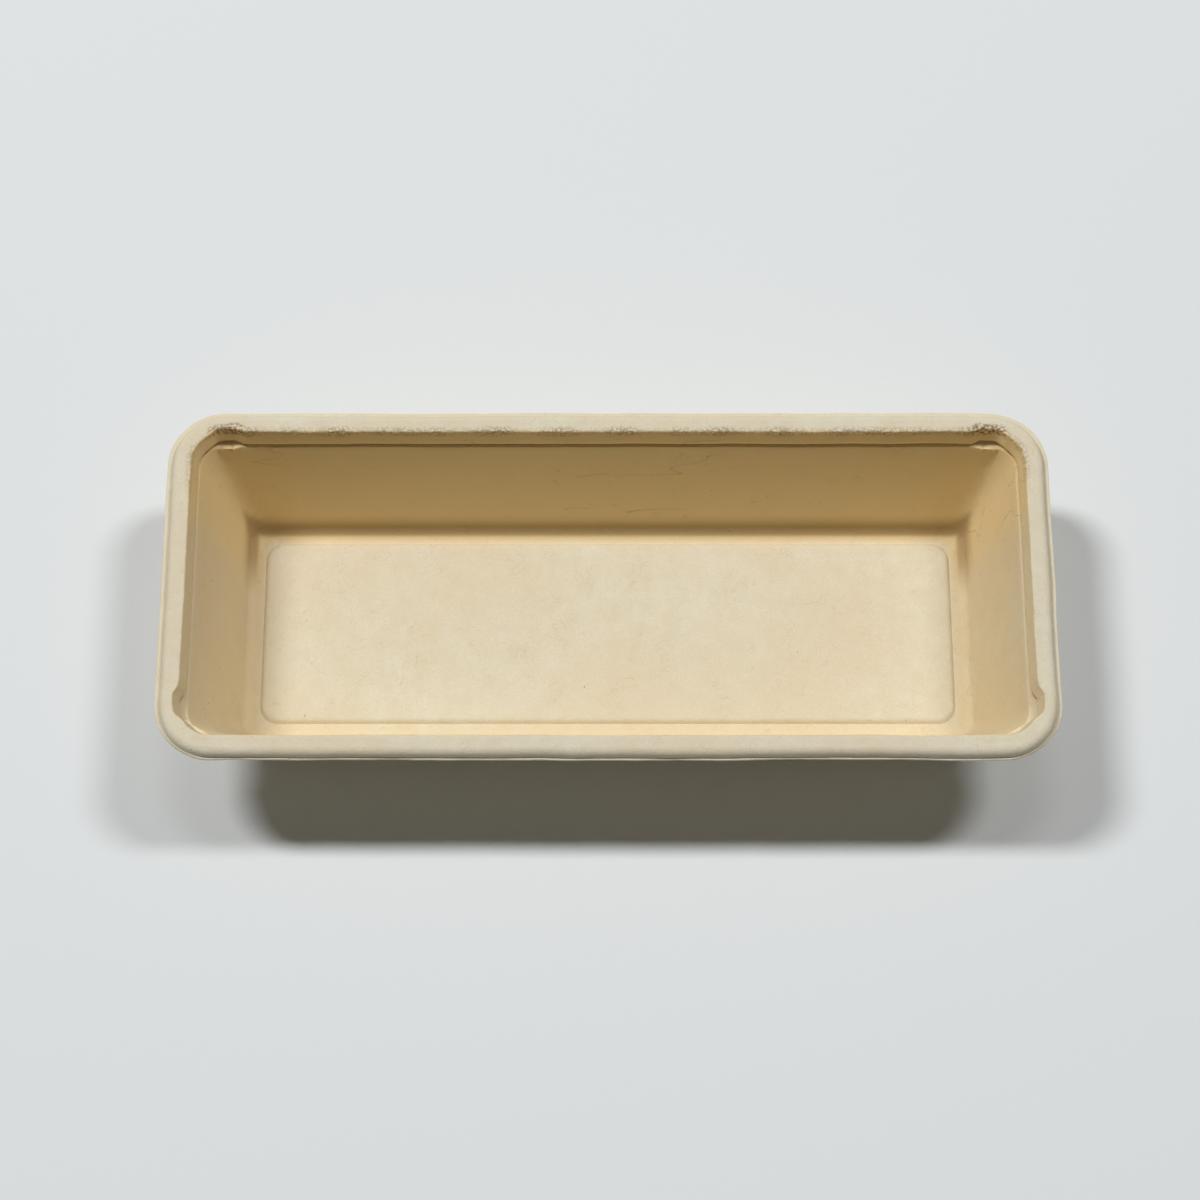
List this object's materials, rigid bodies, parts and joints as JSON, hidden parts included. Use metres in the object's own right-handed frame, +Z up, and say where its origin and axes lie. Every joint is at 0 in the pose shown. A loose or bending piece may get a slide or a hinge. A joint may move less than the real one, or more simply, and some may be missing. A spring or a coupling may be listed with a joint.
{
  "type": "sushi takeaway tray",
  "caption": "Long open takeaway tray of pressed kraft plant-fibre pulp, with a hollow beaded rim, a lid ledge, corner lug pockets and a raised floor panel.",
  "frame": {"origin": "on the surface that the tray stands on, under the middle of the tray", "axes": "+X along the tray, +Y across it towards its back edge, +Z up out of the open mouth"},
  "size_m": [0.22, 0.091, 0.0412],
  "materials": {
    "kraft_pulp": "matt pressed plant-fibre pulp"
  },
  "bodies": {
    "root": {"pulp_tray": "kraft_pulp"}
  },
  "joints": []
}
